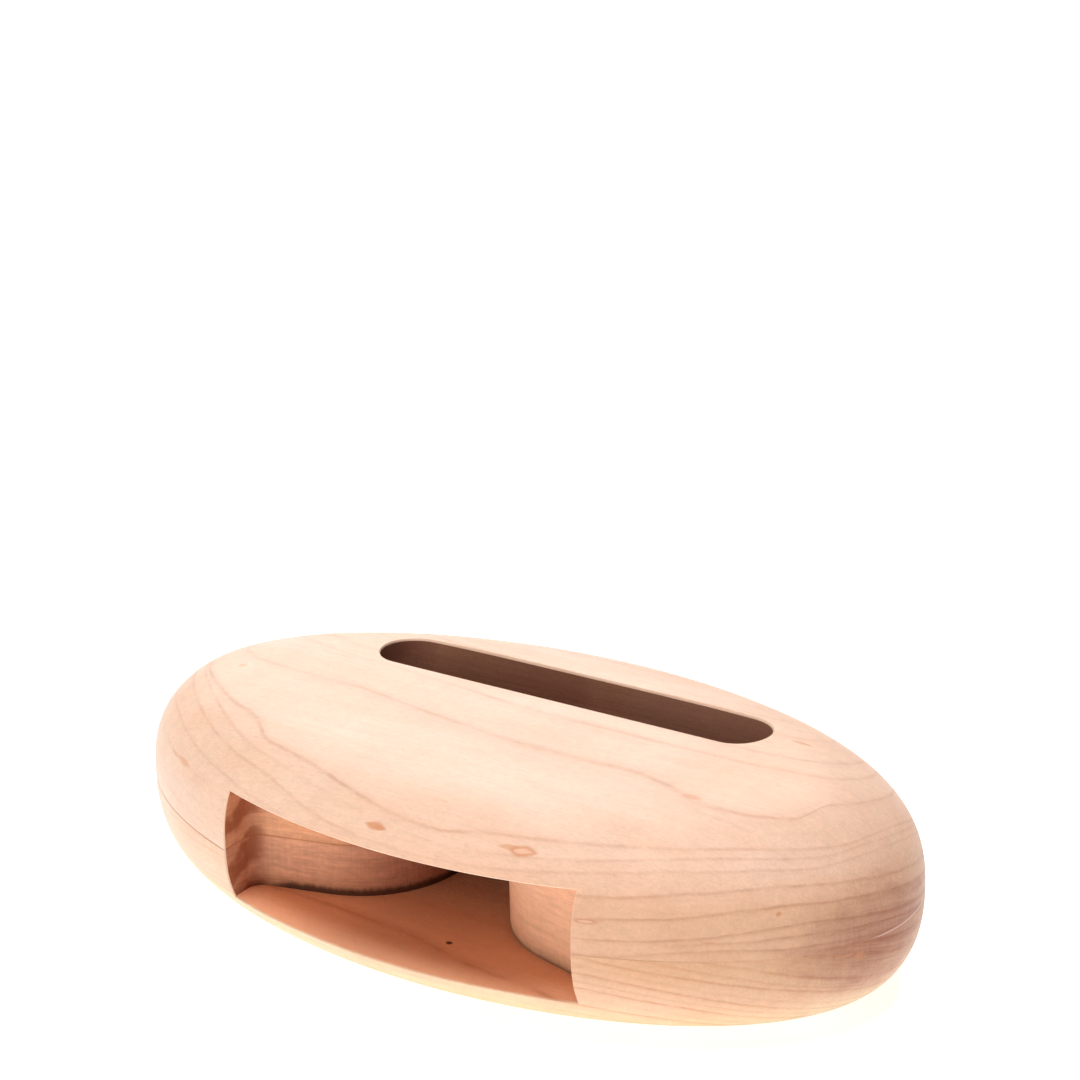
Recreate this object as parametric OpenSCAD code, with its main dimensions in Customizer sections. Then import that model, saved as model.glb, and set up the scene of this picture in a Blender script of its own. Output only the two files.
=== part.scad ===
// Wooden phone stand that also works as a passive sound horn.
// Two boards glued face to face, shaped as one rounded oval. A leaning slot in
// the upper board holds a phone upright. Its lower edge stands on the floor of
// a chamber in the lower board, and the sound leaves through a throat and a
// flared horn that is milled half into each board and opens at the front.
// Origin: centre of the flat base. +X to the right, +Y to the back, +Z up.
// All lengths are in millimetres.

/* [Body] */
// overall length, left to right
body_l = 162; // [150:1:190]
// overall depth, front to back
body_d = 94.5; // [90:0.5:120]
// thickness of each of the two boards
board_t = 19.05; // [17:0.05:24]
// exponent of the oval outline, 2 is a true ellipse
plan_n = 1.96; // [1.9:0.01:2.4]

/* [Top rounding] */
// length of the flat area on top
top_l = 116.8; // [100:0.1:130]
// depth of the flat area on top
top_d = 42.8; // [36:0.1:60]
// fullness of the top rounding at the ends, 2 is a quarter ellipse
top_px = 2.35; // [1.8:0.01:3.2]
// fullness of the top rounding at the front and back
top_py = 2.78; // [1.8:0.01:3.4]

/* [Base rounding] */
// length of the flat base
base_l = 124.2; // [100:0.1:140]
// depth of the flat base
base_d = 56.4; // [45:0.1:70]
// fullness of the base rounding
base_p = 2.38; // [1.8:0.01:3.2]

/* [Horn] */
// width of the mouth between its side walls
mouth_w = 75.6; // [68:0.1:84]
// depth of the horn pocket in the lower board
pocket_low = 10.4; // [8:0.1:12]
// depth of the horn pocket in the upper board
pocket_up = 10.95; // [8:0.05:12]
// width of the throat at its narrowest
throat_w = 16.2; // [12:0.1:20]
// radius of the bulging cheeks at the throat
cheek_r = 20.2; // [18:0.1:22]
// front-to-back place of the cheeks' arc centres
cheek_y = -9.8; // [-12:0.1:-8]
// angle of the straight part of each cheek to the body's length, in degrees
cheek_slope = 14.8; // [8:0.1:20]
// radius in the corner between cheek and side wall
corner_r = 3.2; // [2:0.1:5]

/* [Phone slot] */
// overall length of the slot
slot_l = 86.4; // [80:0.1:92]
// width of the slot, square to its walls
slot_w = 13; // [10:0.1:15]
// how far the phone leans back from upright, in degrees
slot_lean = 14.2; // [8:0.1:18]
// front-to-back place of the slot's middle at the top face
slot_y = 17.4; // [16:0.1:19]

/* [Chamber] */
// overall length of the chamber under the slot
chamber_l = 89.4; // [84:0.1:96]
// clearance in front of and behind the slot's footprint
chamber_gap = 0.2; // [0:0.1:1]

/* [Hidden] */
$fn = 96;
rings = 10;                       // height steps in each rounding
steps = 96;                       // points round the oval
z_glue = board_t;
z_top = 2 * board_t;
z_floor = z_glue - pocket_low;
z_roof = z_glue + pocket_up;
front = body_d;                   // how far cutters reach in front of the body
mouth_x = mouth_w / 2;
cheek_x = throat_w / 2 + cheek_r;
cs = cos(cheek_slope);
sn = sin(cheek_slope);
tan_x = cheek_x - cheek_r * sn;   // where the cheek's arc runs into its straight part
tan_y = cheek_y - cheek_r * cs;
corner_y = tan_y - (mouth_x - tan_x) * sn / cs;
fil_x = mouth_x - corner_r;       // centre of the corner radius
fil_y = tan_y - (corner_r + (fil_x - tan_x) * sn) / cs;
slot_r = slot_w / 2;
slot_half = slot_l / 2 - slot_r;
slot_ry = slot_r / cos(slot_lean);
slot_low_y = slot_y - (z_top - z_floor) * tan(slot_lean);
slot_glue_y = slot_y - (z_top - z_glue) * tan(slot_lean);
ch_front = slot_low_y - slot_ry - chamber_gap;
ch_back = slot_glue_y + slot_ry + chamber_gap;
ch_r = (ch_back - ch_front) / 2;
ch_y = (ch_back + ch_front) / 2;

function sgn_pow(v, e) = sign(v) * pow(abs(v), e);

// one closed oval line at height z with half-lengths a and b
function oval(a, b, z) =
    [for (i = [0 : steps - 1])
        [a * sgn_pow(cos(360 * i / steps), 2 / plan_n),
         b * sgn_pow(sin(360 * i / steps), 2 / plan_n), z]];

// share of the overhang left at height share u, for fullness p
function bulge(u, p) = pow(max(0, 1 - pow(min(1, u), p)), 1 / p);

// heights as shares, close together near the flat
function share(k, p) = pow(sin(90 * k / rings), 2 / p);

function half_size(full, flat, u, p) = flat / 2 + (full - flat) / 2 * bulge(u, p);

// closed solid through a stack of oval lines
module stack(rows) {
    n = len(rows);
    m = len(rows[0]);
    points = [for (r = rows) for (q = r) q];
    sides = [for (k = [0 : n - 2]) for (i = [0 : m - 1])
        let (j = (i + 1) % m)
        for (t = [[k * m + i, (k + 1) * m + i, (k + 1) * m + j],
                  [k * m + i, (k + 1) * m + j, k * m + j]]) t];
    bottom = [[for (i = [0 : m - 1]) i]];
    top = [[for (i = [m - 1 : -1 : 0]) (n - 1) * m + i]];
    polyhedron(points, concat(sides, bottom, top), 4);
}

module upper_shape() {
    stack([for (k = [0 : rings])
        let (u = k == rings ? 1 : share(k, top_py))
        oval(half_size(body_l, top_l, u, top_px),
             half_size(body_d, top_d, u, top_py),
             z_glue + u * board_t)]);
}

module lower_shape() {
    stack([for (k = [rings : -1 : 0])
        let (u = k == rings ? 1 : share(k, base_p))
        oval(half_size(body_l, base_l, u, base_p),
             half_size(body_d, base_d, u, base_p),
             z_glue - u * board_t)]);
}

// the wood that stands beside the horn, on the right
module cheek() {
    translate([cheek_x, cheek_y]) circle(r = cheek_r);
    polygon([[cheek_x, cheek_y], [tan_x, tan_y],
             [mouth_x + 1, tan_y - (mouth_x + 1 - tan_x) * sn / cs],
             [mouth_x + 1, cheek_y + 1]]);
    difference() {
        polygon([[fil_x, fil_y], [mouth_x + 1, fil_y],
                 [mouth_x + 1, corner_y], [fil_x + corner_r * sn, fil_y + corner_r * cs]]);
        translate([fil_x, fil_y]) circle(r = corner_r);
    }
}

// plan of the horn and its throat
module horn_plan() {
    difference() {
        translate([-mouth_x, -front]) square([mouth_w, front + cheek_y]);
        cheek();
        mirror([1, 0]) cheek();
    }
    translate([-throat_w / 2, cheek_y - 0.01]) square([throat_w, slot_glue_y - cheek_y]);
}

// a long hole with round ends, centred
module long_hole(l, r) {
    square([l - 2 * r, 2 * r], center = true);
    for (s = [-1, 1]) translate([s * (l / 2 - r), 0]) circle(r = r);
}

module lower_board() {
    color([0.93, 0.79, 0.66]) difference() {
        lower_shape();
        translate([0, 0, z_floor]) linear_extrude(board_t) horn_plan();
        translate([0, ch_y, z_floor]) linear_extrude(board_t) long_hole(chamber_l, ch_r);
    }
}

module upper_board() {
    color([0.96, 0.83, 0.71]) difference() {
        upper_shape();
        translate([0, 0, z_glue - board_t]) linear_extrude(board_t + pocket_up) horn_plan();
        translate([0, slot_y, z_top]) rotate([-slot_lean, 0, 0])
            translate([0, 0, -2 * board_t]) linear_extrude(3 * board_t) long_hole(slot_l, slot_r);
    }
}

lower_board();
upper_board();
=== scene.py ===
import math

import bmesh
import bpy
import numpy as np
from mathutils import Matrix, Vector


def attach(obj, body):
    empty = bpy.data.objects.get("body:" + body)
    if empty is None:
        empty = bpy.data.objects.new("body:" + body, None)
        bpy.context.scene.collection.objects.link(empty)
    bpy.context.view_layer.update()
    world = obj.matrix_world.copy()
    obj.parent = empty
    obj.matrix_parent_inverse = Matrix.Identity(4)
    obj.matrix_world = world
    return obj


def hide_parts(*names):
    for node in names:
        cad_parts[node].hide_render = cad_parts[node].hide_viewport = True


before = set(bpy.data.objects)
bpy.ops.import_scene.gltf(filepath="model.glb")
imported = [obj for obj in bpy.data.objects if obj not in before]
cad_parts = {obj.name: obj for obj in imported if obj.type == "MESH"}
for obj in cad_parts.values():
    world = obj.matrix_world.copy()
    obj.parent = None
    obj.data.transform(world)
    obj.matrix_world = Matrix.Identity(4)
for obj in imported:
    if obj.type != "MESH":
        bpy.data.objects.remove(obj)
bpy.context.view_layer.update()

# ------------------------------------------------------------------ sizes, mm
BODY_A, BODY_B, PLAN_N = 81.0, 47.25, 1.96
BOARD = 19.05
Z_GLUE, Z_TOP = BOARD, 2 * BOARD
TOP_A, TOP_B, TOP_PX, TOP_PY = 58.4, 21.4, 2.35, 2.78
BASE_A, BASE_B, BASE_P = 62.1, 28.2, 2.38
MOUTH_X = 37.8
Z_FLOOR, Z_ROOF = 8.65, 30.0
THROAT_X, CHEEK_R, CHEEK_Y = 8.1, 20.2, -9.8
CHEEK_X = THROAT_X + CHEEK_R
SLOPE = math.radians(14.8)
CORNER_R = 3.2
SLOT_HALF, SLOT_R, SLOT_Y = 36.7, 6.5, 17.4
LEAN = math.radians(14.2)
CHAMBER_L, CHAMBER_GAP = 89.4, 0.2
EDGE = 0.38  # broken edge of the mouth and the slot

TAN_X = CHEEK_X - CHEEK_R * math.sin(SLOPE)
TAN_Y = CHEEK_Y - CHEEK_R * math.cos(SLOPE)
FIL_X = MOUTH_X - CORNER_R
FIL_Y = TAN_Y - (CORNER_R + (FIL_X - TAN_X) * math.sin(SLOPE)) / math.cos(SLOPE)
SLOT_RY = SLOT_R / math.cos(LEAN)
CH_FRONT = SLOT_Y - (Z_TOP - Z_FLOOR) * math.tan(LEAN) - SLOT_RY - CHAMBER_GAP
CH_BACK = SLOT_Y - (Z_TOP - Z_GLUE) * math.tan(LEAN) + SLOT_RY + CHAMBER_GAP
CH_R, CH_Y = (CH_BACK - CH_FRONT) / 2, (CH_BACK + CH_FRONT) / 2
CH_HALF = CHAMBER_L / 2 - CH_R

rng = np.random.default_rng(7)


def bulge(u, p):
    return np.power(np.clip(1 - np.power(np.clip(u, 0, 1), p), 0, 1), 1 / p)


def half_sizes(z):
    """Half-length and half-depth of the oval at height z."""
    z = np.asarray(z, float)
    u = np.clip((z - Z_GLUE) / BOARD, 0, 1)
    v = np.clip((Z_GLUE - z) / BOARD, 0, 1)
    up = z >= Z_GLUE
    a = np.where(up, TOP_A + (BODY_A - TOP_A) * bulge(u, TOP_PX), BASE_A + (BODY_A - BASE_A) * bulge(v, BASE_P))
    b = np.where(up, TOP_B + (BODY_B - TOP_B) * bulge(u, TOP_PY), BASE_B + (BODY_B - BASE_B) * bulge(v, BASE_P))
    return a, b


def front_y(x, z):
    a, b = half_sizes(z)
    return -b * np.power(np.clip(1 - np.power(np.abs(x) / a, PLAN_N), 0, 1), 1 / PLAN_N)


def outside(x, y, z):
    a, b = half_sizes(z)
    return np.power(np.abs(x) / a, PLAN_N) + np.power(np.abs(y) / b, PLAN_N) - 1


def mesh_object(name, verts, faces):
    me = bpy.data.meshes.new(name)
    me.from_pydata([tuple(v) for v in np.asarray(verts, float) * 0.001], [], faces)
    me.validate()
    me.update()
    ob = bpy.data.objects.new(name, me)
    bpy.context.scene.collection.objects.link(ob)
    return ob


def loft(name, rings, rim, cap_start=True, cap_end=True):
    """Closed solid through rings of equally many points; the first rim bands keep the outside face's material."""
    m = len(rings[0])
    verts = np.concatenate([np.asarray(r, float) for r in rings])
    faces = []
    for k in range(len(rings) - 1):
        a, b = k * m, (k + 1) * m
        for i in range(m):
            j = (i + 1) % m
            faces.append((a + i, a + j, b + j, b + i))
    if cap_start:
        faces.append(tuple(range(m - 1, -1, -1)))
    if cap_end:
        faces.append(tuple((len(rings) - 1) * m + i for i in range(m)))
    ob = mesh_object(name, verts, faces)
    for i, poly in enumerate(ob.data.polygons):
        poly.material_index = 0 if i < rim * m else 1
    bm = bmesh.new()
    bm.from_mesh(ob.data)
    bmesh.ops.recalc_face_normals(bm, faces=bm.faces)
    bm.to_mesh(ob.data)
    bm.free()
    return ob


# ------------------------------------------------------------------ outer shells
NT = 560
theta = np.linspace(0, 2 * math.pi, NT, endpoint=False)
ct = np.sign(np.cos(theta)) * np.power(np.abs(np.cos(theta)), 2 / PLAN_N)
st = np.sign(np.sin(theta)) * np.power(np.abs(np.sin(theta)), 2 / PLAN_N)


def shell(name, upper):
    p = TOP_PY if upper else BASE_P
    flat = (TOP_A, TOP_B) if upper else (BASE_A, BASE_B)
    rows = []
    # a hair of broken edge along the glue line
    for z_off, cut in ((0.0, 0.16), (0.06, 0.075), (0.14, 0.02), (0.24, 0.0)):
        z = Z_GLUE + (z_off if upper else -z_off)
        a, b = half_sizes(z)
        rows.append((a, b, z, cut))
    steps = 46
    for k in range(1, steps + 1):
        u = 1.0 if k == steps else math.sin(math.pi / 2 * k / steps) ** (2 / p)
        if u * BOARD < 0.4:
            continue
        z = Z_GLUE + u * BOARD * (1 if upper else -1)
        a, b = half_sizes(z)
        if k == steps:
            a, b = flat
        rows.append((float(a), float(b), z, 0.0))
    # the groove is deepest on the left and almost closed on the right
    groove = 0.16 + 0.34 * (1 - np.cos(theta)) / 2
    rings = [np.stack([(a - cut * groove) * ct, (b - cut * groove) * st, np.full(NT, z)], 1) for a, b, z, cut in rows]
    # hand sanding: the curve wanders by a few hundredths of a millimetre
    for r in rings:
        ang = np.arctan2(r[:, 1], r[:, 0])
        w = 0.035 * np.sin(5 * ang + r[:, 2] * 0.17) + 0.025 * np.sin(9 * ang - r[:, 2] * 0.31 + 1.3)
        fade = np.clip((Z_TOP - r[:, 2]) / 3, 0, 1) * np.clip(r[:, 2] / 3, 0, 1)
        r[:, 0] -= np.abs(w) * fade * np.cos(ang)
        r[:, 1] -= np.abs(w) * fade * np.sin(ang)
    z_flat = Z_TOP if upper else 0.0
    n_in = 16
    for k in range(1, n_in):
        s = 1 - k / n_in
        rings.append(np.stack([flat[0] * s * ct, flat[1] * s * st, np.full(NT, z_flat)], 1))
    m = NT
    verts = np.concatenate(rings + [np.array([[0, 0, z_flat]])])
    faces = []
    for k in range(len(rings) - 1):
        a, b = k * m, (k + 1) * m
        for i in range(m):
            j = (i + 1) % m
            faces.append((a + i, a + j, b + j, b + i) if upper else (a + j, a + i, b + i, b + j))
    last = (len(rings) - 1) * m
    c = len(verts) - 1
    for i in range(m):
        j = (i + 1) % m
        faces.append((last + i, last + j, c) if upper else (last + j, last + i, c))
    faces.append(tuple(range(m - 1, -1, -1)) if upper else tuple(range(m)))
    return mesh_object(name, verts, faces)


# ------------------------------------------------------------------ cutters
NX, NZ = 150, 28


def box_ring(w, z0, z1, y):
    """Rectangle of half-width w from z0 to z1; y is a number, or a depth behind the shell as ('shell', d)."""
    s = np.linspace(-1, 1, NX + 1)
    t = np.linspace(0, 1, NZ + 1)
    x = np.concatenate([w * s[:-1], np.full(NZ, w), -w * s[:-1], np.full(NZ, -w)])
    z = np.concatenate([np.full(NX, z0), z0 + (z1 - z0) * t[:-1], np.full(NX, z1), z1 - (z1 - z0) * t[:-1]])
    if isinstance(y, tuple):
        yy = front_y(x, np.clip(z, 0, Z_TOP)) + y[1]
    else:
        yy = np.full_like(x, y)
    return np.stack([x, yy, z], 1)


def horn_stations():
    """(y, half-width) from just behind the mouth's broken edge to the throat."""
    out = [(-36.3, MOUTH_X)]
    for k in range(0, 11):
        al = (math.pi / 2 - SLOPE) * k / 10
        out.append((FIL_Y + CORNER_R * math.sin(al), FIL_X + CORNER_R * math.cos(al)))
    y1, w1 = out[-1]
    for k in range(1, 24):
        t = k / 24
        out.append((y1 + (TAN_Y - y1) * t, w1 + (TAN_X - w1) * t))
    for k in range(0, 56):
        be = SLOPE + (math.pi / 2 - SLOPE) * k / 55
        out.append((CHEEK_Y - CHEEK_R * math.cos(be), CHEEK_X - CHEEK_R * math.sin(be)))
    # the cutter leaves a faint scalloped track on the walls
    rough = []
    for i, (y, w) in enumerate(out):
        d = 0.016 * (1 if i % 2 else -1) + float(rng.normal(0, 0.008))
        rough.append((y, w + (d if 11 < i < len(out) - 2 else 0.0)))
    return rough


def horn_cutter(name, upper):
    o = EDGE
    if upper:
        z0, z1, dz0, dz1 = 13.0, Z_ROOF, 0.0, 1.0
    else:
        z0, z1, dz0, dz1 = Z_FLOOR, 25.0, 1.0, 0.0
    rings = []
    for y, off in ((-62.0, 1.6 * o), (("shell", -0.5), 1.6 * o), (("shell", -0.10), 0.92 * o), (("shell", 0.10), 0.45 * o),
                   (("shell", 0.26), 0.14 * o), (("shell", 0.46), 0.0)):
        rings.append(box_ring(MOUTH_X + off, z0 - off * dz0, z1 + off * dz1, y))
    stations = horn_stations()
    for y, w in stations:
        rings.append(box_ring(w, z0, z1, y))
    if upper:
        rings.append(box_ring(THROAT_X, z0, z1, 0.0))
        rings.append(box_ring(THROAT_X, z0, z1, 12.5))
    else:
        rings.append(box_ring(THROAT_X, z0, z1, CH_FRONT - 0.15))
        for k in range(0, 41):
            g = math.radians(4 + 172 * k / 40)
            rings.append(box_ring(CH_HALF + CH_R * math.sin(g), z0, z1, CH_Y - CH_R * math.cos(g)))
    return loft(name, rings, 5)


def slot_cutter(name):
    ns, na = 150, 40
    p = list(np.linspace(-SLOT_HALF, SLOT_HALF, ns + 1)[:-1])
    nx, nq = [0.0] * ns, [-1.0] * ns
    for k in range(na):
        al = -math.pi / 2 + math.pi * k / na
        p.append(SLOT_HALF), nx.append(math.cos(al)), nq.append(math.sin(al))
    p += list(np.linspace(SLOT_HALF, -SLOT_HALF, ns + 1)[:-1])
    nx += [0.0] * ns
    nq += [1.0] * ns
    for k in range(na):
        al = math.pi / 2 + math.pi * k / na
        p.append(-SLOT_HALF), nx.append(math.cos(al)), nq.append(math.sin(al))
    p, nx, nq = np.array(p), np.array(nx), np.array(nq)
    ex, nb, ud = np.array([1, 0, 0.0]), np.array([0, math.cos(LEAN), -math.sin(LEAN)]), np.array([0, math.sin(LEAN), math.cos(LEAN)])
    base = np.array([0, SLOT_Y, Z_TOP])
    ripple = 0.012 * np.where(np.arange(len(p)) % 2 == 0, 1, -1) + rng.normal(0, 0.006, len(p))

    def ring(off, s, on_shell=False, rough=1.0):
        r = SLOT_R + off + ripple * rough
        pts = base + np.outer(p + nx * r, ex) + np.outer(nq * r, nb)
        if on_shell:
            lo, hi = np.full(len(p), -8.0), (Z_TOP - pts[:, 2]) / ud[2]
            for _ in range(40):
                mid = (lo + hi) / 2
                t = pts + mid[:, None] * ud
                out = outside(t[:, 0], t[:, 1], t[:, 2]) > 0
                hi, lo = np.where(out, mid, hi), np.where(out, lo, mid)
            # on the flat the surface is the plane z = top
            flat = outside(pts[:, 0], pts[:, 1], np.full(len(p), Z_TOP)) <= 0
            sf = np.where(flat, (Z_TOP - pts[:, 2]) / ud[2], (lo + hi) / 2)
            return pts + (sf + s)[:, None] * ud
        return pts + s * ud

    o = EDGE
    rings = [ring(1.6 * o, 9.0, rough=0)]
    for s, off in ((0.5, 1.6 * o), (0.10, 0.92 * o), (-0.10, 0.45 * o), (-0.26, 0.14 * o), (-0.46, 0.0)):
        rings.append(ring(off, s, True, rough=0.0 if s > -0.2 else 0.4))
    rings.append(ring(0, -3.2))
    for s in (-8.0, -14.0, -23.0):
        rings.append(ring(0, s))
    return loft(name, rings, 5)


# ------------------------------------------------------------------ materials
class Nodes:
    def __init__(self, name):
        self.m = bpy.data.materials.new(name)
        self.m.use_nodes = True
        self.t = self.m.node_tree
        self.t.nodes.clear()

    def new(self, kind, **props):
        n = self.t.nodes.new(kind)
        for k, v in props.items():
            setattr(n, k, v)
        return n

    def put(self, socket, value):
        if isinstance(value, bpy.types.NodeSocket):
            self.t.links.new(value, socket)
        elif value is not None:
            socket.default_value = value

    def math(self, op, a, b=None, c=None, clamp=False):
        n = self.new("ShaderNodeMath", operation=op, use_clamp=clamp)
        for s, v in zip(n.inputs, (a, b, c)):
            self.put(s, v)
        return n.outputs[0]

    def vec(self, op, a, b=None, scale=None):
        n = self.new("ShaderNodeVectorMath", operation=op)
        self.put(n.inputs[0], a)
        if b is not None:
            self.put(n.inputs[1], b)
        if scale is not None:
            self.put(n.inputs["Scale"], scale)
        return n.outputs["Value"] if op in ("LENGTH", "DOT_PRODUCT", "DISTANCE") else n.outputs[0]

    def noise(self, vector, scale=1.0, detail=2.0, rough=0.5, distort=0.0):
        n = self.new("ShaderNodeTexNoise")
        n.noise_dimensions = "3D"
        self.put(n.inputs["Vector"], vector)
        n.inputs["Scale"].default_value = scale
        n.inputs["Detail"].default_value = detail
        n.inputs["Roughness"].default_value = rough
        n.inputs["Distortion"].default_value = distort
        return n.outputs["Fac"] if "Fac" in n.outputs else n.outputs[0]

    def remap(self, v, a, b, c=0.0, d=1.0, smooth=False):
        n = self.new("ShaderNodeMapRange")
        n.interpolation_type = "SMOOTHSTEP" if smooth else "LINEAR"
        self.put(n.inputs["Value"], v)
        for s, x in zip(("From Min", "From Max", "To Min", "To Max"), (a, b, c, d)):
            self.put(n.inputs[s], x)
        return n.outputs["Result"]

    def mix(self, fac, a, b, blend="MIX"):
        n = self.new("ShaderNodeMix", data_type="RGBA", blend_type=blend)
        self.put(n.inputs["Factor"], fac)
        self.put(n.inputs["A"] if n.inputs["A"].type == "RGBA" else n.inputs[6], a if isinstance(a, bpy.types.NodeSocket) else (*a, 1))
        self.put(n.inputs[7], b if isinstance(b, bpy.types.NodeSocket) else (*b, 1))
        return n.outputs[2]

    def ramp(self, fac, stops, interpolation="LINEAR"):
        n = self.new("ShaderNodeValToRGB")
        r = n.color_ramp
        r.interpolation = interpolation
        while len(r.elements) > 1:
            r.elements.remove(r.elements[0])
        for i, (p, c) in enumerate(stops):
            e = r.elements[0] if i == 0 else r.elements.new(p)
            e.position = p
            e.color = (*c, 1)
        self.put(n.inputs[0], fac)
        return n.outputs[0]


SPAN = 8.0  # mm of level that one traced growth line may cover


def traced(g, xn, points):
    """Level and strength of one growth line along the board, from (x, level, strength) points."""
    mid = sum(p[1] for p in points) / len(points)
    stops = [((x + 82) / 164, ((v - mid) / SPAN + 0.5, k, 0)) for x, v, k in points]
    col = g.ramp(xn, stops, "B_SPLINE" if len(points) > 3 else "LINEAR")
    sep = g.new("ShaderNodeSeparateColor")
    g.put(sep.inputs[0], col)
    return g.math("MULTIPLY_ADD", sep.outputs[0], SPAN, mid - SPAN / 2), sep.outputs[1]


def wander(level, strength, amp=0.3, tilt=0.0, seed=0):
    """A growth line that nobody can see in the photo: a slow random walk along the board."""
    r = np.random.default_rng(1000 + seed)
    k = r.normal(0, 1, 3)
    ph = r.uniform(0, 6.28, 3)
    out = []
    for x in np.linspace(-81, 81, 19):
        v = level + tilt * x + amp * (k[0] * math.sin(x / 31 + ph[0]) + 0.6 * k[1] * math.sin(x / 15 + ph[1]) + 0.3 * k[2] * math.sin(x / 6.5 + ph[2])) * 0.6
        out.append((float(x), float(v), float(strength * (0.75 + 0.35 * math.sin(x / 23 + ph[1])))))
    return out


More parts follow.
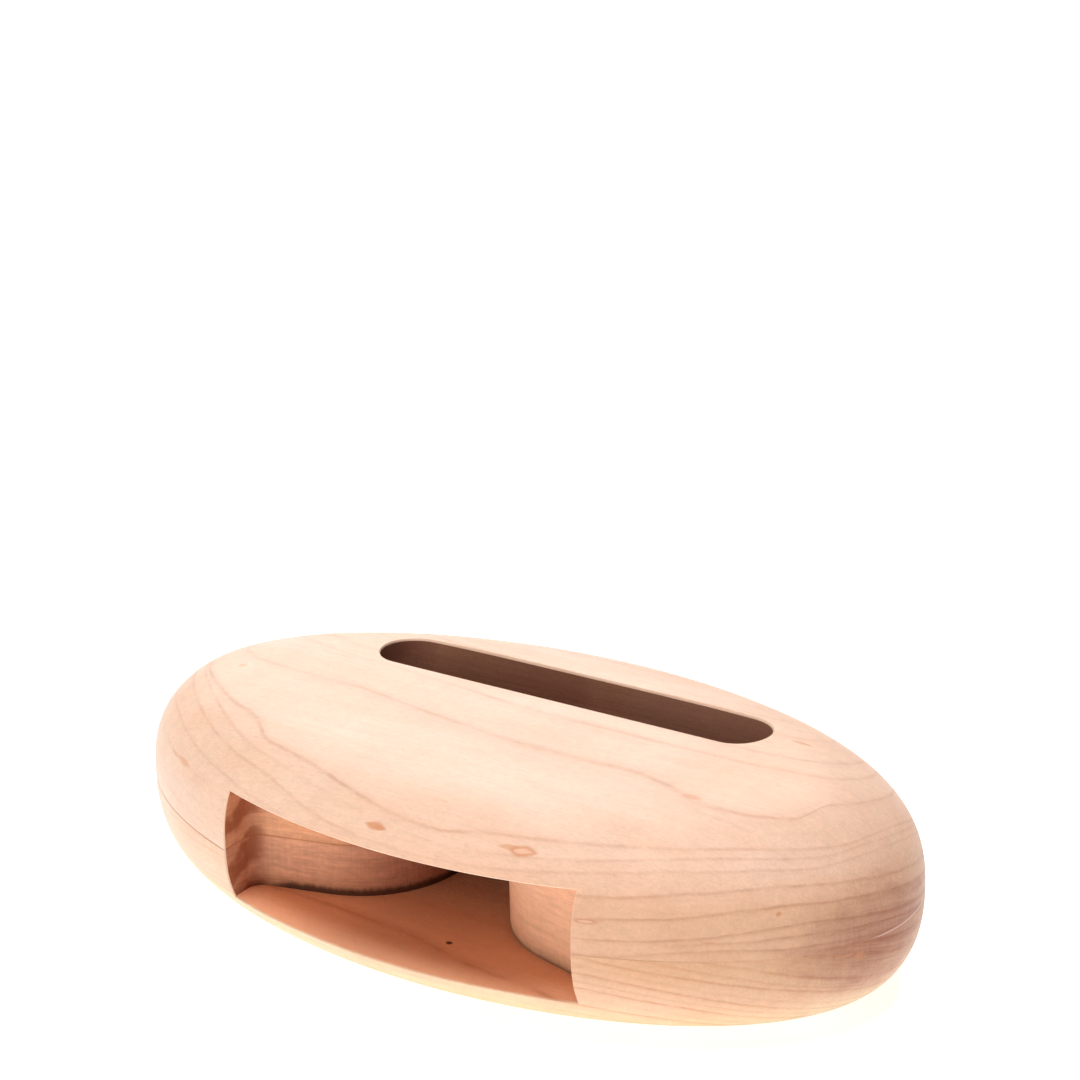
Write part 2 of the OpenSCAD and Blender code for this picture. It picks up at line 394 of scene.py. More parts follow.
UPPER_LINES = [
    # the long line from the left end to the right end, and its neighbours below
    [(-81, 33.2, 0.5), (-68, 33.36, 0.8), (-60, 33.5, 0.9), (-54, 33.36, 1), (-50, 33.5, 1), (-45, 33.68, 1), (-41, 33.5, 1), (-38, 33.15, 1), (-35, 33.1, 1),
     (-30, 33.3, 1), (-24, 33.47, 1), (-15, 33.4, 1), (-5, 33.0, 1), (0, 32.8, 1), (5, 32.7, 1), (10, 32.66, 1), (13, 32.9, 1), (16, 33.2, 0.95), (20, 33.5, 0.9),
     (30, 33.6, 0.8), (50, 33.7, 0.8), (58, 33.8, 0.8), (65, 33.5, 0.8), (70, 33.3, 0.8), (72.5, 33.2, 0.7), (74, 33.8, 0.6), (76, 34.7, 0.5), (81, 35, 0.4)],
    [(-81, 32.8, 0.3), (-64, 33.0, 0.5), (-60, 32.8, 0.6), (-50, 32.45, 0.65), (-40, 32.1, 0.6), (-30, 32.36, 0.4), (-15, 32.4, 0.25), (-5, 31.9, 0.15),
     (10, 31.3, 0.2), (20, 31.5, 0.35), (30, 31.9, 0.5), (40, 32.2, 0.6), (50, 32.7, 0.7), (55, 32.8, 0.7), (60, 32.7, 0.7), (65, 32.5, 0.7), (70, 32.3, 0.7),
     (72, 32.2, 0.6), (74, 32.9, 0.5), (81, 34, 0.3)],
    [(-81, 31.6, 0.3), (-70, 31.5, 0.5), (-60, 31.2, 0.6), (-50, 30.9, 0.6), (-40, 30.8, 0.65), (-35, 30.95, 0.65), (-30, 30.95, 0.65), (-25, 30.7, 0.7),
     (-22, 30.4, 0.7), (-18, 30.05, 0.7), (-14, 29.7, 0.6), (-5, 29.5, 0.4), (10, 29.5, 0.2), (25, 29.95, 0.5), (35, 30.7, 0.6), (45, 31.1, 0.6), (53, 31.45, 0.65),
     (60, 31.3, 0.65), (66, 31.1, 0.6), (70, 30.95, 0.6), (73, 31.1, 0.5), (76, 32, 0.4), (81, 33, 0.3)],
    [(-81, 28.6, 0.3), (-70, 28.45, 0.5), (-65, 28.55, 0.5), (-60, 28.45, 0.5), (-50, 28.0, 0.55), (-45, 28.1, 0.5), (-40, 28.2, 0.5), (-36, 27.9, 0.4),
     (0, 27.6, 0.3), (38, 27.86, 0.7), (43, 27.9, 0.7), (48, 28.1, 0.7), (52, 28.4, 0.7), (60, 28.7, 0.7), (65, 28.9, 0.7), (70, 28.9, 0.7), (74, 28.6, 0.65), (81, 28.0, 0.5)],
    [(-81, 25.2, 0.2), (-62, 24.6, 0.25), (-50, 25.2, 0.2), (-40, 25.0, 0.2), (0, 24.2, 0.2), (38, 24.1, 0.4), (43, 24.5, 0.6), (48, 24.7, 0.65), (55, 24.8, 0.65),
     (60, 25.5, 0.7), (65, 26.0, 0.75), (70, 26.1, 0.8), (75, 25.9, 0.8), (81, 25.6, 0.7)],
    [(-81, 21.5, 0.2), (-60, 21.3, 0.2), (-40, 21.2, 0.15), (38, 20.7, 0.4), (43, 20.8, 0.6), (48, 20.9, 0.65), (53, 21.2, 0.65), (58, 21.45, 0.6), (63, 22, 0.65),
     (68, 22.7, 0.75), (72, 23.1, 0.8), (76, 22.7, 0.8), (81, 22.2, 0.8)],
    [(-81, 19.6, 0.1), (46, 20.2, 0.0), (52, 20.4, 0.2), (60, 20.5, 0.5), (66, 20.6, 0.65), (70, 21.0, 0.75), (74, 21.0, 0.8), (81, 20.4, 0.7)],
    [(-81, 18, 0.2), (38, 17.9, 0.5), (44, 17.8, 0.5), (48, 18.1, 0.5), (53, 18.9, 0.55), (60, 19.3, 0.6), (66, 19.0, 0.6), (70, 18.6, 0.7), (75, 18.9, 0.75), (81, 18.6, 0.6)],
    # the line across the middle of the top, with its step near the right end, and a faint branch
    [(-81, 36.2, 0.3), (-57, 36.45, 0.55), (-50, 36.5, 0.6), (-40, 36.8, 0.75), (-35, 36.95, 0.8), (-30, 36.86, 0.8), (-20, 36.73, 0.85), (-10, 36.77, 0.9),
     (0, 36.68, 0.9), (10, 36.77, 0.9), (20, 36.86, 0.95), (30, 37.05, 1), (35, 37.0, 1), (40, 36.8, 1), (45, 36.6, 1), (50, 36.5, 1), (55, 36.4, 0.9),
     (60, 36.34, 0.9), (62, 36.33, 0.9), (63.2, 36.33, 0.9), (64.0, 36.36, 0.9), (64.7, 36.9, 0.85), (65.4, 37.42, 0.8), (66.2, 37.46, 0.8), (68, 37.5, 0.8), (72, 37.6, 0.7), (81, 37.8, 0.5)],
    [(-81, 36.2, 0), (42, 36.7, 0), (46, 36.4, 0.4), (50, 36.1, 0.45), (55, 35.86, 0.4), (58, 35.3, 0.3), (64, 35.0, 0.15), (81, 35, 0.0)],
    # in front of the slot and to the right of it
    [(-81, 39.8, 0.5), (-55, 39.6, 0.5), (-30, 39.5, 0.4), (-17, 39.45, 0.6), (-10, 39.36, 0.75), (0, 39.18, 0.8), (10, 39.27, 0.8), (20, 39.36, 0.8),
     (30, 39.4, 0.75), (40, 39.45, 0.7), (48, 39.5, 0.7), (58, 39.7, 0.7), (66, 39.8, 0.6), (81, 39.9, 0.5)],
    [(-81, 41.2, 0.4), (33, 40.6, 0.4), (40, 40.75, 0.6), (45, 40.65, 0.65), (49, 40.75, 0.65), (58, 41.1, 0.65), (68, 41.4, 0.6), (81, 41.8, 0.5)],
    # behind the slot and round the back: guessed
    wander(43.2, 0.5, seed=1), wander(45.0, 0.7, seed=2), wander(46.1, 0.4, seed=3), wander(48.3, 0.75, seed=4), wander(50.9, 0.5, seed=5), wander(53.4, 0.7, seed=6),
]
LOWER_LINES = [
    wander(-3.6, 0.5, seed=11), wander(-1.4, 0.7, seed=12), wander(0.6, 0.5, seed=13),
    [(-81, 4.0, 0.5), (-40, 3.85, 0.6), (-21.7, 3.76, 0.8), (-9.6, 3.64, 0.9), (1, 3.45, 0.9), (11.4, 3.05, 0.9), (19.7, 2.85, 0.9), (31.8, 2.95, 0.9), (50, 3.2, 0.7), (81, 3.6, 0.5)],
    wander(5.2, 0.4, seed=14),
    [(-81, 7.0, 0.3), (0, 6.6, 0.4), (38, 7.0, 0.5), (44, 7.1, 0.75), (50, 7.05, 0.8), (56, 7.2, 0.75), (62, 7.0, 0.6), (81, 6.9, 0.5)],
    wander(8.6, 0.35, amp=0.2, seed=15),
    [(-81, 10.4, 0.3), (-38, 10.2, 0.25), (0, 10.0, 0.4), (38, 10.0, 0.6), (44, 10.2, 0.8), (50, 10.1, 0.8), (56, 10.2, 0.8), (66, 10.1, 0.7), (81, 10.0, 0.6)],
    wander(11.7, 0.5, amp=0.2, seed=16),
    [(-81, 13.6, 0.35), (-38, 13.2, 0.3), (0, 13.4, 0.4), (44, 13.1, 0.5), (51, 13.4, 0.75), (60, 13.8, 0.75), (70, 14.5, 0.7), (81, 14.8, 0.6)],
    wander(15.4, 0.55, amp=0.2, seed=17), wander(17.3, 0.6, seed=18), wander(19.6, 0.7, seed=19), wander(21.8, 0.5, seed=20), wander(24.6, 0.7, seed=21), wander(28.0, 0.6, seed=22),
]

SPECKS = {
    # centre (mm), half-size (mm) along x, y, z, strength, pale centre
    "upper": [
        ((-1.9, -42.2, 33.4), (2.4, 3.0, 0.60), 0.80, 0.0),
        ((-0.9, -42.4, 33.3), (1.3, 2.6, 0.34), 0.55, 0.0),
        ((24.0, -38.7, 34.35), (2.6, 2.6, 0.34), 0.62, 0.0),
        ((26.6, -38.2, 34.1), (2.9, 3.2, 0.66), 0.92, 0.95),
        ((44.3, -12.1, 38.1), (2.3, 0.75, 2.0), 0.45, 0.0),
        ((49.8, 18.1, 37.8), (2.3, 0.42, 2.0), 0.55, 0.0),
        ((-61.2, -5.7, 37.9), (0.9, 0.7, 2.0), 0.40, 0.0),
        ((40.3, -40.2, 25.35), (2.4, 2.4, 0.55), 0.75, 1.0),
        ((68.2, -23.5, 26.9), (0.5, 1.2, 0.42), 0.70, 0.0),
        ((-54.5, -32.2, 29.4), (3.6, 3.0, 0.62), 0.45, 0.0),
        ((-58.5, -29.6, 29.2), (2.4, 3.0, 0.35), 0.40, 0.0),
        ((59.2, -31.6, 22.6), (1.3, 2.0, 0.26), 0.45, 0.0),
        ((12.0, 43.5, 27.0), (2.6, 2.5, 0.6), 0.6, 0.5),
        ((-44.0, 37.0, 31.0), (1.8, 2.0, 0.5), 0.55, 0.0),
    ],
    "lower": [
        ((6.6, -33.3, 8.65), (0.75, 0.42, 1.0), 1.6, 0.0),
        ((8.6, -34.1, 8.65), (1.6, 0.22, 1.0), 0.5, 0.0),
        ((76.4, -15.2, 17.35), (1.3, 3.0, 0.30), 0.6, 0.0),
        ((77.7, -12.4, 16.6), (1.6, 0.8, 1.0), 0.6, 0.0),
        ((-72.0, -19.0, 12.0), (1.5, 2.0, 1.3), 0.35, 0.0),
        ((58.0, 33.0, 11.0), (2.2, 2.0, 0.6), 0.6, 0.5),
        ((-20.0, 45.0, 9.0), (1.6, 2.0, 0.5), 0.6, 0.0),
        ((30.0, 8.0, 0.0), (2.8, 0.8, 1.0), 0.6, 0.5),
        ((-35.0, -12.0, 0.0), (1.6, 0.7, 1.0), 0.6, 0.0),
    ],
}


def wood(name, board, milled=False):
    g = Nodes(name)
    tc = g.new("ShaderNodeTexCoord")
    P = g.vec("SCALE", tc.outputs["Object"], scale=1000.0)
    PN = g.vec("ADD", P, (310.0, 170.0, 95.0)) if board == "lower" else P
    sep = g.new("ShaderNodeSeparateXYZ")
    g.put(sep.inputs[0], P)
    x, y, z = sep.outputs
    geo = g.new("ShaderNodeNewGeometry")
    N = geo.outputs["Normal"]

    def stretched(sx, sy, sz):
        return g.vec("MULTIPLY", PN, (sx, sy, sz))

    # --- growth layers: nearly flat sheets, bowed about the board's length
    n2 = g.noise(stretched(0.05, 0.12, 0.12), 1.0, 1.5, 0.5)
    n3 = g.noise(stretched(0.22, 0.5, 0.5), 1.0, 2.0, 0.6)
    if board == "upper":
        h = g.math("MULTIPLY_ADD", x, 0.0136, z)
        h = g.math("MULTIPLY_ADD", y, 0.203, h)
        h = g.math("MULTIPLY_ADD", g.math("MULTIPLY", y, y), 0.00363, h)
        h = g.math("MULTIPLY_ADD", g.math("MULTIPLY", x, x), -0.000144, h)
        h = g.math("MULTIPLY_ADD", g.math("MULTIPLY", x, y), -0.000316, h)
        grad_y = g.math("MULTIPLY_ADD", y, 0.00726, 0.203)
        lines = UPPER_LINES
    else:
        h = g.math("MULTIPLY_ADD", y, 0.15, z)
        e = g.math("MAXIMUM", g.math("SUBTRACT", x, 20.0), 0.0)
        h = g.math("MULTIPLY_ADD", g.math("MULTIPLY", e, e), 0.0022, h)
        e = g.math("MAXIMUM", g.math("SUBTRACT", -30.0, x), 0.0)
        h = g.math("MULTIPLY_ADD", g.math("MULTIPLY", e, e), 0.0010, h)
        grad_y = g.math("ADD", 0.15, 0.0)
        lines = LOWER_LINES
    comb = g.new("ShaderNodeCombineXYZ")
    g.put(comb.inputs[1], grad_y)
    comb.inputs[2].default_value = 1.0
    slope = g.vec("LENGTH", g.vec("CROSS_PRODUCT", comb.outputs[0], N))
    warp = g.math("ADD", g.math("MULTIPLY", g.math("SUBTRACT", n2, 0.5), 0.55), g.math("MULTIPLY", g.math("SUBTRACT", n3, 0.5), 0.42))
    h = g.math("MULTIPLY_ADD", warp, g.math("MULTIPLY_ADD", slope, 0.70, 0.22), h)
    width = g.math("MULTIPLY_ADD", slope, 0.18, 0.10)
    xn = g.remap(x, -82.0, 82.0)
    line = band = None
    for pts in lines:
        level, strength = traced(g, xn, pts)
        d = g.math("SUBTRACT", h, level)
        t = g.math("DIVIDE", d, width)
        m = g.remap(g.math("MAXIMUM", t, g.math("MULTIPLY", t, -0.6)), 0.15, 1.0, 1.0, 0.0, smooth=True)
        m = g.math("MULTIPLY", m, strength)
        w = g.remap(g.math("MAXIMUM", g.math("MULTIPLY", d, 2.2), g.math("MULTIPLY", d, -0.95)), 0.0, 1.0, 1.0, 0.0, smooth=True)
        w = g.math("MULTIPLY", w, strength)
        line = m if line is None else g.math("MAXIMUM", line, m)
        band = w if band is None else g.math("MAXIMUM", band, w)
    brk = g.remap(g.noise(stretched(0.07, 0.35, 0.35), 1.0, 3.0, 0.6), 0.36, 0.62, 0.30, 1.0)
    line = g.math("MULTIPLY", line, brk)

    # --- colour
    broad = g.noise(stretched(0.013, 0.04, 0.06), 1.0, 2.0, 0.55)
    tone = g.noise(stretched(0.035, 0.22, 0.32), 1.0, 3.0, 0.6)
    # painted light: the left end and the top are paler, washed out as if by strong light, and the right end pinker; on
    # the lower board the bottom is yellower, a painted glow of light from the floor below
    painted_pale_light = g.math("ADD", g.remap(x, -70.0, 15.0, 1.0, 0.0), g.remap(z, 29.0, 38.0, 0.0, 0.75), clamp=True)
    if board == "upper":
        pale = g.mix(painted_pale_light, (0.785, 0.490, 0.350), (0.720, 0.512, 0.392))
        warm = g.mix(painted_pale_light, (0.750, 0.452, 0.308), (0.700, 0.470, 0.340))
        deep = (0.450, 0.190, 0.105)
    else:
        painted_floor_glow = g.remap(z, 10.0, 3.0, 0.0, 1.0)
        pale = g.mix(painted_floor_glow, g.mix(painted_pale_light, (0.775, 0.485, 0.325), (0.730, 0.515, 0.375)), (0.890, 0.665, 0.400))
        warm = g.mix(painted_floor_glow, g.mix(painted_pale_light, (0.740, 0.440, 0.280), (0.705, 0.470, 0.325)), (0.850, 0.605, 0.345))
        deep = (0.53, 0.195, 0.090)
    base = g.mix(g.remap(broad, 0.36, 0.66, smooth=True), pale, warm)
    base = g.mix(g.math("MULTIPLY", g.remap(tone, 0.42, 0.72, smooth=True), 0.30), base, (0.70, 0.385, 0.245))
    # fibres along the length
    fib1 = g.noise(stretched(0.055, 1.5, 1.5), 1.0, 3.0, 0.62)
    fib2 = g.noise(stretched(0.14, 5.0, 5.0), 1.0, 2.0, 0.6)
    fibre = g.math("ADD", g.math("MULTIPLY", g.math("SUBTRACT", fib1, 0.5), 0.6), g.math("MULTIPLY", g.math("SUBTRACT", fib2, 0.5), 0.4))
    base = g.vec("SCALE", base, scale=g.math("MULTIPLY_ADD", fibre, 0.32 if not milled else 0.30, 1.0))
    east = g.math("MULTIPLY", g.remap(x, 8.0, 56.0, smooth=True), g.remap(z, 33.5, 25.0, smooth=True))
    base = g.mix(g.math("MULTIPLY", band, g.math("MULTIPLY_ADD", east, 0.10, 0.13)), base, deep)
    base = g.mix(g.math("MULTIPLY", line, g.math("MULTIPLY_ADD", east, 0.14, 0.40)), base, deep)
    # fine grain
    grain = g.noise(stretched(0.9, 3.4, 3.4), 1.0, 4.0, 0.7)
    mottle = g.noise(stretched(0.45, 0.7, 0.9), 1.0, 3.0, 0.65)
    gm = g.math("ADD", g.math("MULTIPLY", g.math("SUBTRACT", grain, 0.5), 0.34), g.math("MULTIPLY", g.math("SUBTRACT", mottle, 0.5), 0.20))
    base = g.vec("SCALE", base, scale=g.math("ADD", gm, 1.0))
    # pores: short dark dashes, and ray flecks
    pore_n = g.noise(stretched(0.6, 6.0, 6.0), 1.0, 1.0, 0.5)
    pore = g.remap(pore_n, 0.67, 0.76, 0.0, 1.0, smooth=True)
    base = g.mix(g.math("MULTIPLY", pore, 0.26), base, (0.42, 0.19, 0.11))
    fleck_n = g.noise(stretched(0.8, 2.6, 1.3), 1.0, 1.0, 0.5)
    fleck = g.remap(fleck_n, 0.62, 0.74, 0.0, 1.0, smooth=True)
    base = g.mix(g.math("MULTIPLY", fleck, 0.13), base, (0.62, 0.33, 0.21))
    # faint cross-grain shimmer
    curl = g.noise(stretched(0.17, 0.02, 0.05), 1.0, 1.0, 0.4, 0.6)
    base = g.vec("SCALE", base, scale=g.remap(curl, 0.3, 0.7, 0.98, 1.02))
    # painted shade: the right end is darker and pinker, broken by real brown bands of layers, and its scratches are
    # stronger; end grain at both ends
    q = g.vec("MULTIPLY", g.vec("SUBTRACT", P, (84.0, -9.0, 18.6)), (1 / 24.0, 1 / 27.0, 1 / 12.8))
    right_end_shade_and_scratches = g.remap(g.math("ADD", g.vec("LENGTH", q), g.math("MULTIPLY", g.math("SUBTRACT", tone, 0.5), 0.7)), 0.18, 1.12, 1.0, 0.0, smooth=True)
    lay = g.new("ShaderNodeCombineXYZ")
    g.put(lay.inputs[0], g.math("MULTIPLY", x, 0.035))
    g.put(lay.inputs[1], g.math("MULTIPLY", y, 0.035))
    g.put(lay.inputs[2], g.math("MULTIPLY", h, 0.62))
    strip = g.remap(g.noise(lay.outputs[0], 1.0, 3.0, 0.6), 0.36, 0.66, smooth=True)
    scratch = g.noise(g.vec("MULTIPLY", PN, (2.2, 1.6, 0.16)), 1.0, 2.0, 0.6)
    base = g.mix(g.math("MULTIPLY", right_end_shade_and_scratches, g.math("MULTIPLY_ADD", strip, 0.38, 0.60)), base, (0.360, 0.112, 0.056))
    base = g.vec("SCALE", base, scale=g.math("MULTIPLY_ADD", g.math("MULTIPLY", g.math("SUBTRACT", scratch, 0.5), g.math("MULTIPLY_ADD", right_end_shade_and_scratches, 0.8, 0.2)), 0.30, 1.0))
    # painted shade: the right side of the front, from about z 7 mm up to the top's rounding, is darkened and warmed
    base = g.mix(g.math("MULTIPLY", east, g.remap(z, 7.0, 16.0, 0.0, 1.0)), base, (0.890, 0.825, 0.722), "MULTIPLY")
    nxs = g.new("ShaderNodeSeparateXYZ")
    g.put(nxs.inputs[0], N)
    end = g.remap(g.math("ABSOLUTE", nxs.outputs[0]), 0.55, 0.95, smooth=True)
    endn = g.noise(stretched(0.5, 3.2, 3.2), 1.0, 2.0, 0.6)
    base = g.vec("SCALE", base, scale=g.math("MULTIPLY_ADD", g.math("MULTIPLY", end, g.math("SUBTRACT", endn, 0.55)), 0.42, 1.0))

    # --- specks: small knots and gum marks
    knot = None
    for (c, r, k, pale_mid) in SPECKS[board]:
        q = g.vec("MULTIPLY", g.vec("SUBTRACT", P, c), tuple(1.0 / v for v in r))
        qs = g.new("ShaderNodeSeparateXYZ")
        g.put(qs.inputs[0], q)
        across = g.math("SQRT", g.math("MULTIPLY_ADD", qs.outputs[1], g.math("MULTIPLY", qs.outputs[1], 0.5), g.math("MULTIPLY", qs.outputs[2], qs.outputs[2])))
        d = g.math("MULTIPLY_ADD", qs.outputs[0], qs.outputs[0], across)
        d = g.math("ADD", d, g.math("MULTIPLY", g.math("SUBTRACT", n3, 0.5), 0.9))
        m = g.remap(d, 0.45, 1.25, 1.0, 0.0, smooth=True)
        if k >= 1.2:
            knot = m
            continue
        base = g.mix(g.math("MULTIPLY", m, k), base, (0.56, 0.225, 0.100))
        if pale_mid:
            m2 = g.remap(d, 0.22, 0.66, 1.0, 0.0, smooth=True)
            base = g.mix(g.math("MULTIPLY", m2, pale_mid * 0.75), base, (0.76, 0.46, 0.32))

    # --- the glue line: brown on the left and inside, almost lost on the right, with a pale painted highlight along it at the right end
    dz = g.math("ABSOLUTE", g.math("SUBTRACT", z, Z_GLUE))
    glue = g.remap(g.math("DIVIDE", dz, g.math("MULTIPLY_ADD", n3, 0.10, 0.09)), 0.6, 1.6, 1.0, 0.0, smooth=True)
    if milled:
        glue = g.remap(dz, 0.12, 0.24, 1.0, 0.0, smooth=True)
        base = g.mix(g.math("MULTIPLY", glue, g.remap(x, 0.0, 8.0, 0.92, 0.22)), base, (0.130, 0.045, 0.022))
    else:
        k = g.ramp(xn, [(0.0, (0.5, 0.5, 0.5)), (0.27, (0.62, 0.62, 0.62)), (0.73, (0.42, 0.42, 0.42)), (0.80, (0.28, 0.28, 0.28)), (0.88, (0.10, 0.10, 0.10)), (0.95, (0.0, 0.0, 0.0))])
        back = g.remap(y, -5.0, 15.0, 0.0, 0.4)
        base = g.mix(g.math("MULTIPLY", glue, g.math("MAXIMUM", k, back)), base, (0.40, 0.155, 0.065))
        # painted highlight: a pale line along the glue joint at the right end
        glue_end_highlight = g.math("MULTIPLY", g.remap(x, 78.4, 80.2, smooth=True), g.remap(dz, 0.08, 0.24, 1.0, 0.0, smooth=True))
        base = g.mix(g.math("MULTIPLY", glue_end_highlight, 0.50), base, (0.80, 0.56, 0.43))

    if not milled:
        inx = g.math("ABSOLUTE", x)
        # painted highlight: the broken edge round the mouth, at the roof and the sides, is painted pale
        rim_top_highlight = g.math("MULTIPLY", g.remap(g.math("MULTIPLY", nxs.outputs[2], -1.0), 0.10, 0.50), g.remap(g.math("ABSOLUTE", g.math("SUBTRACT", z, Z_ROOF)), 0.5, 0.9, 1.0, 0.0))
        rim_side_highlight = g.math("MULTIPLY", g.remap(g.math("ABSOLUTE", nxs.outputs[0]), 0.45, 0.80), g.remap(g.math("ABSOLUTE", g.math("SUBTRACT", inx, MOUTH_X)), 0.5, 0.9, 1.0, 0.0))
        rim = g.math("MULTIPLY", g.math("MAXIMUM", rim_top_highlight, rim_side_highlight), g.remap(y, -30.0, -27.0, 1.0, 0.0))
        rim = g.math("MULTIPLY", rim, g.remap(inx, 38.4, 38.8, 1.0, 0.0))
        base = g.mix(g.math("MULTIPLY", rim, 0.75), base, (0.93, 0.69, 0.50))
    rough = g.remap(fib1, 0.3, 0.7, 0.46, 0.56)
    if milled:
        nz = nxs.outputs[2]
        wall = g.remap(g.math("ABSOLUTE", nz), 0.35, 0.7, 1.0, 0.0)
        slot = g.remap(g.math("ADD", y, g.math("MULTIPLY", z, 0.253)), 17.2, 18.2)
        # walls: cut across the fibres, so darker, fuzzier and slightly scorched
        marks = g.noise(g.vec("MULTIPLY", PN, (1.5, 1.5, 0.10)), 1.0, 2.0, 0.6)
        layers = g.noise(g.vec("MULTIPLY", PN, (0.10, 0.14, 1.25)), 1.0, 4.0, 0.62, 0.8)
        fuzz = g.noise(g.vec("MULTIPLY", PN, (0.55, 0.6, 1.2)), 1.0, 4.0, 0.7)
        shade = g.math("MULTIPLY", g.math("SUBTRACT", marks, 0.5), 0.26)
        shade = g.math("ADD", shade, g.math("MULTIPLY", g.math("SUBTRACT", layers, 0.5), 1.15))
        shade = g.math("ADD", shade, g.math("MULTIPLY", g.math("SUBTRACT", fuzz, 0.5), 0.75))
        low_wall = g.remap(z, Z_GLUE - 0.3, Z_GLUE + 0.3, 1.0, 0.0)
        wall_col = g.mix(low_wall, (0.70, 0.310, 0.140), (0.625, 0.262, 0.140))
        east_cheek = g.remap(x, 6.0, 14.0)
        wall_col = g.mix(east_cheek, wall_col, (0.80, 0.440, 0.270))
        base_wall = g.vec("SCALE", g.mix(0.72, base, wall_col), scale=g.math("MULTIPLY_ADD", shade, g.math("MULTIPLY_ADD", east_cheek, -0.28, 0.70), 0.98))
        # painted shade: the left cheek gets darker and redder towards the throat
        throat_shade = g.math("MULTIPLY", g.remap(x, -26.0, -8.0, smooth=True), g.remap(x, 2.0, -2.0))
        base_wall = g.mix(throat_shade, base_wall, (0.66, 0.58, 0.60), "MULTIPLY")
        # the left jamb shows dark slanting bands of end grain
        diag = g.noise(g.vec("MULTIPLY", PN, (0.05, 0.22, 0.22)), 1.0, 2.0, 0.5)
        dsum = g.math("MULTIPLY", g.math("SUBTRACT", g.math("MULTIPLY", z, 0.85), g.math("MULTIPLY", y, 0.45)), 0.80)
        wave = g.math("SINE", g.math("ADD", dsum, g.math("MULTIPLY", diag, 6.0)))
        jamb = g.remap(x, -34.4, -37.4, smooth=True)
        jd = g.math("MULTIPLY", jamb, g.remap(wave, -0.7, 0.7, 0.30, 0.88, smooth=True))
        base_wall = g.mix(jd, base_wall, (0.30, 0.090, 0.038))
        # painted shade: the milled floor darkens going in towards the throat; painted light lifts it on the left, next
        # to the jamb
        floor_shade = g.math("MULTIPLY", g.remap(y, -36.0, -8.0, 1.10, 0.56), g.remap(x, -30.0, -6.0, 1.20, 1.0, smooth=True))
        base_floor = g.vec("SCALE", g.mix(0.62, base, (0.735, 0.312, 0.160)), scale=floor_shade)
        base_floor = g.mix(g.math("MULTIPLY", g.math("MAXIMUM", line, g.math("MULTIPLY", band, 0.45)), 0.42), base_floor, (0.30, 0.095, 0.040))
        base = g.mix(wall, base_floor, base_wall)
        # scorch: a soft dark line, with a fuzzy upper edge, where the cutter's end ran; with it, a painted shade
        # fading 3.4 mm up the walls from their corner with the floor
        teeth = g.noise(g.vec("MULTIPLY", PN, (1.3, 1.3, 0.12)), 1.0, 2.0, 0.55)
        reach = g.remap(x, -35.5, -31.0, 0.30, 1.0, smooth=True)
        reach = g.math("MULTIPLY", reach, g.remap(x, -5.0, 12.0, 1.0, 0.58))
        hb = g.math("SUBTRACT", z, Z_FLOOR)
        edge = g.math("MULTIPLY", reach, g.math("MULTIPLY_ADD", teeth, 0.85, 0.95))
        burn_and_corner_shade = g.remap(g.math("SUBTRACT", hb, edge), -0.75, 0.80, 1.0, 0.0, smooth=True)
        corner_shade = g.math("MULTIPLY", g.remap(hb, 0.0, 3.4, 1.0, 0.0, smooth=True), 0.28)
        burn_and_corner_shade = g.math("MULTIPLY", g.math("MAXIMUM", g.math("MULTIPLY", burn_and_corner_shade, g.math("MULTIPLY_ADD", reach, 0.52, 0.42)), corner_shade), wall)
        base = g.mix(burn_and_corner_shade, base, (0.060, 0.020, 0.010))
        # painted shade: the slot's walls are painted dark brown, a little lighter towards the left end
        slot_shade_col = g.mix(g.remap(x, -42.0, -26.0, 1.0, 0.0, smooth=True), (0.178, 0.067, 0.041), (0.245, 0.102, 0.066))
        base = g.mix(g.math("MULTIPLY", slot, 0.86), base, slot_shade_col)
        rough = g.remap(fuzz, 0.3, 0.7, 0.60, 0.78)

    if knot is not None:
        base = g.mix(g.math("MULTIPLY", knot, 0.92), base, (0.060, 0.018, 0.008))

    # --- relief
    hgt = g.math("ADD", g.math("MULTIPLY", fib1, 0.5), g.math("MULTIPLY", fib2, 0.35))
    hgt = g.math("SUBTRACT", hgt, g.math("MULTIPLY", pore, 0.5))
    hgt = g.math("SUBTRACT", hgt, g.math("MULTIPLY", line, 0.25))
    if milled:
        hgt = g.math("ADD", hgt, g.math("ADD", g.math("MULTIPLY", marks, 1.2), g.math("MULTIPLY", fuzz, 0.9)))
    bump = g.new("ShaderNodeBump")
    bump.inputs["Strength"].default_value = 0.30 if not milled else 0.5
    bump.inputs["Distance"].default_value = 0.00006 if not milled else 0.00014
    g.put(bump.inputs["Height"], hgt)

    bsdf = g.new("ShaderNodeBsdfPrincipled")
    g.put(bsdf.inputs["Base Color"], base)
    g.put(bsdf.inputs["Roughness"], rough)
    bsdf.inputs["Specular IOR Level"].default_value = 0.34 if not milled else 0.18
    bsdf.inputs["IOR"].default_value = 1.46
    g.put(bsdf.inputs["Normal"], bump.outputs[0])
    if not milled:
        bsdf.inputs["Coat Weight"].default_value = 0.05
        bsdf.inputs["Coat Roughness"].default_value = 0.35
    out = g.new("ShaderNodeOutputMaterial")
    g.t.links.new(bsdf.outputs[0], out.inputs[0])
    return g.m


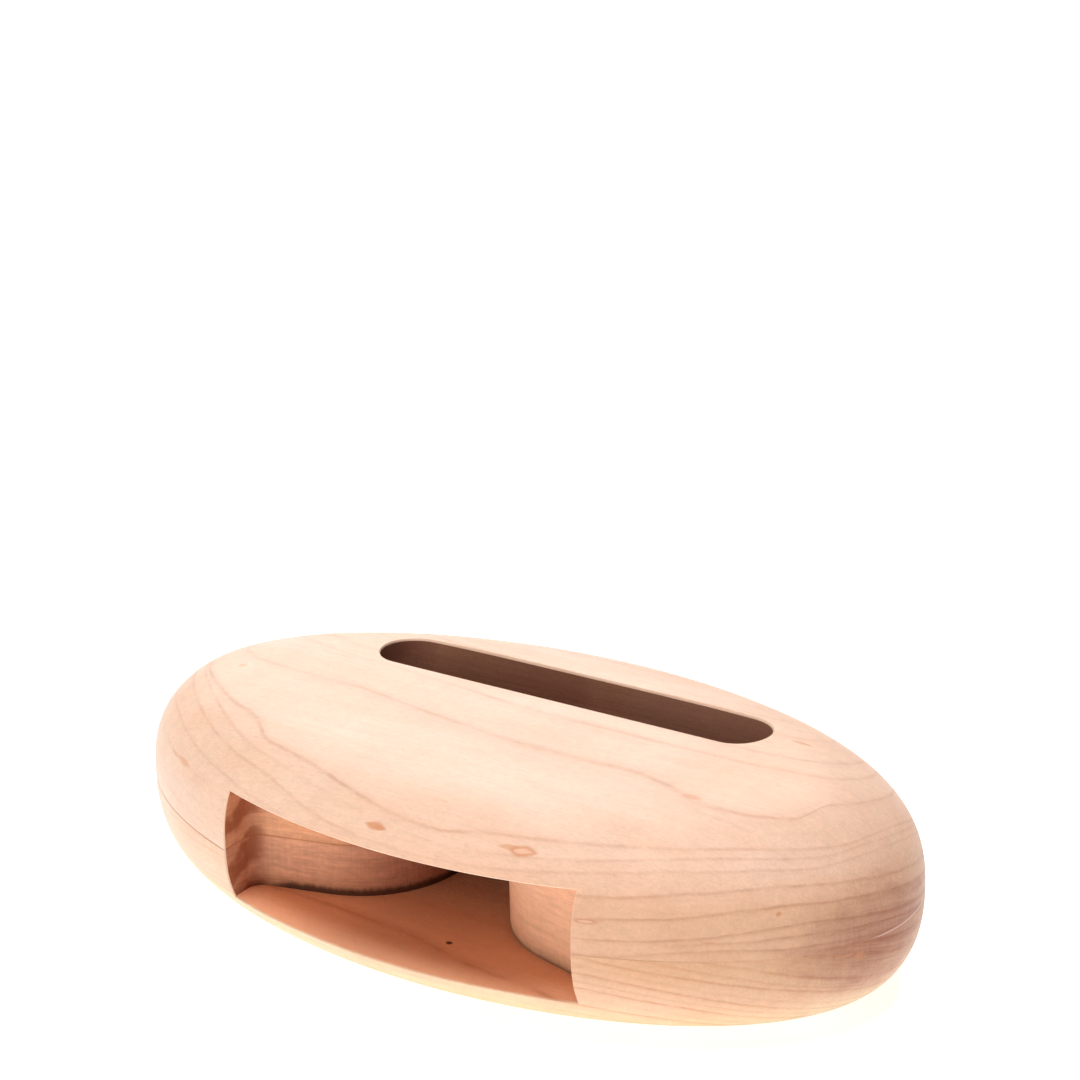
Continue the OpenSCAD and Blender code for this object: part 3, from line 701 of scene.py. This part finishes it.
# ------------------------------------------------------------------ build the two boards
def build(name, node, board, cutters):
    ob = shell(name, board == "upper")
    outer = wood(board + "_board_face", board)
    inner = wood(board + "_board_milled", board, milled=True)
    ob.data.materials.append(outer)
    ob.data.materials.append(inner)
    for c in cutters:
        c.data.materials.append(outer)
        c.data.materials.append(inner)
        m = ob.modifiers.new("cut", "BOOLEAN")
        m.operation = "DIFFERENCE"
        m.object = c
        m.solver = "EXACT"
        m.material_mode = "TRANSFER"
        dg = bpy.context.evaluated_depsgraph_get()
        me = bpy.data.meshes.new_from_object(ob.evaluated_get(dg), depsgraph=dg)
        ob.modifiers.remove(m)
        old = ob.data
        ob.data = me
        bpy.data.meshes.remove(old)
    for c in cutters:
        me = c.data
        bpy.data.objects.remove(c)
        bpy.data.meshes.remove(me)
    bm = bmesh.new()
    bm.from_mesh(ob.data)
    bmesh.ops.remove_doubles(bm, verts=bm.verts, dist=2e-6)
    bmesh.ops.dissolve_degenerate(bm, edges=bm.edges, dist=1e-6)
    for f in bm.faces:
        f.smooth = True
    bad = sum(1 for e in bm.edges if not e.is_manifold)
    print("BUILD", name, "verts", len(bm.verts), "faces", len(bm.faces), "nonmanifold edges", bad, "materials", [m.name for m in ob.data.materials])
    bm.to_mesh(ob.data)
    bm.free()
    ob.data.set_sharp_from_angle(angle=math.radians(42))
    w = ob.modifiers.new("weighted_normal", "WEIGHTED_NORMAL")
    w.keep_sharp = True
    w.weight = 60
    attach(ob, "root")
    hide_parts(node)
    return ob


lower = build("lower_board_wood_piece", "lower_board", "lower", [horn_cutter("cut_low", False)])
upper = build("upper_board_wood_piece", "upper_board", "upper", [horn_cutter("cut_up", True), slot_cutter("cut_slot")])

# ------------------------------------------------------------------ stage
bpy.ops.mesh.primitive_plane_add(size=30.0, location=(0, 0, -0.00005))
floor = bpy.context.object
floor.name = "floor"
fm = Nodes("studio_floor")
fb = fm.new("ShaderNodeBsdfPrincipled")
fb.inputs["Base Color"].default_value = (0.89, 0.92, 0.95, 1)
fb.inputs["Roughness"].default_value = 0.9
fb.inputs["Specular IOR Level"].default_value = 0.1
# a lit white table: it glows a little, which fills the shadows from below
ft = fm.new("ShaderNodeTexCoord")
fe = fm.vec("LENGTH", fm.vec("MULTIPLY", fm.vec("SCALE", ft.outputs["Object"], scale=1000.0), (1 / 70.0, 1 / 38.0, 0.0)))
fm.put(fb.inputs["Emission Color"], fm.mix(fm.remap(fe, 0.76, 0.94, smooth=True), (1.0, 0.82, 0.50), (0.88, 0.945, 1.0)))
fb.inputs["Emission Strength"].default_value = 0.64
fo = fm.new("ShaderNodeOutputMaterial")
fm.t.links.new(fb.outputs[0], fo.inputs[0])
floor.data.materials.append(fm.m)

world = bpy.data.worlds.new("studio")
bpy.context.scene.world = world
world.use_nodes = True
bg = world.node_tree.nodes["Background"]
bg.inputs[0].default_value = (1.0, 0.99, 0.98, 1)
bg.inputs[1].default_value = 0.10


def softbox(name, direction, power, color=(1, 1, 1)):
    """A large round softbox 2.4 m from the part."""
    li = bpy.data.lights.new(name, "AREA")
    li.shape = "DISK"
    li.size = 1.7
    li.energy = power
    li.color = color
    ob = bpy.data.objects.new(name, li)
    bpy.context.scene.collection.objects.link(ob)
    v = Vector(direction).normalized() * 2.4
    ob.location = v + Vector((0, 0, 0.02))
    ob.rotation_euler = (-v).to_track_quat("-Z", "Y").to_euler()
    return ob


softbox("overhead", (0, 0, 1), 63.0)
softbox("over_left", (-0.6, -0.25, 0.75), 4.0)
softbox("front_low", (-0.25, -0.95, 0.15), 25.0, (1.0, 0.95, 0.86))
softbox("back_left", (-0.6, 0.7, 0.5), 27.0)

# ------------------------------------------------------------------ camera
cam_data = bpy.data.cameras.new("camera")
cam = bpy.data.objects.new("camera", cam_data)
bpy.context.scene.collection.objects.link(cam)
cam_data.sensor_width = 36.0
cam_data.sensor_fit = "HORIZONTAL"
cam_data.lens = 95.0
cam_data.clip_start = 0.01
cam_data.clip_end = 50
right = Vector((0.8324901, 0.5536382, -0.0210937))
up = Vector((-0.1755375, 0.2996792, 0.9377521))
back = -Vector((-0.5254967, 0.7769666, -0.3466643))
cam.matrix_world = Matrix((
    (right.x, up.x, back.x, 0.2753043),
    (right.y, up.y, back.y, -0.3987246),
    (right.z, up.z, back.z, 0.2525694),
    (0, 0, 0, 1),
))
bpy.context.scene.camera = cam
bpy.context.scene.view_settings.view_transform = "Standard"
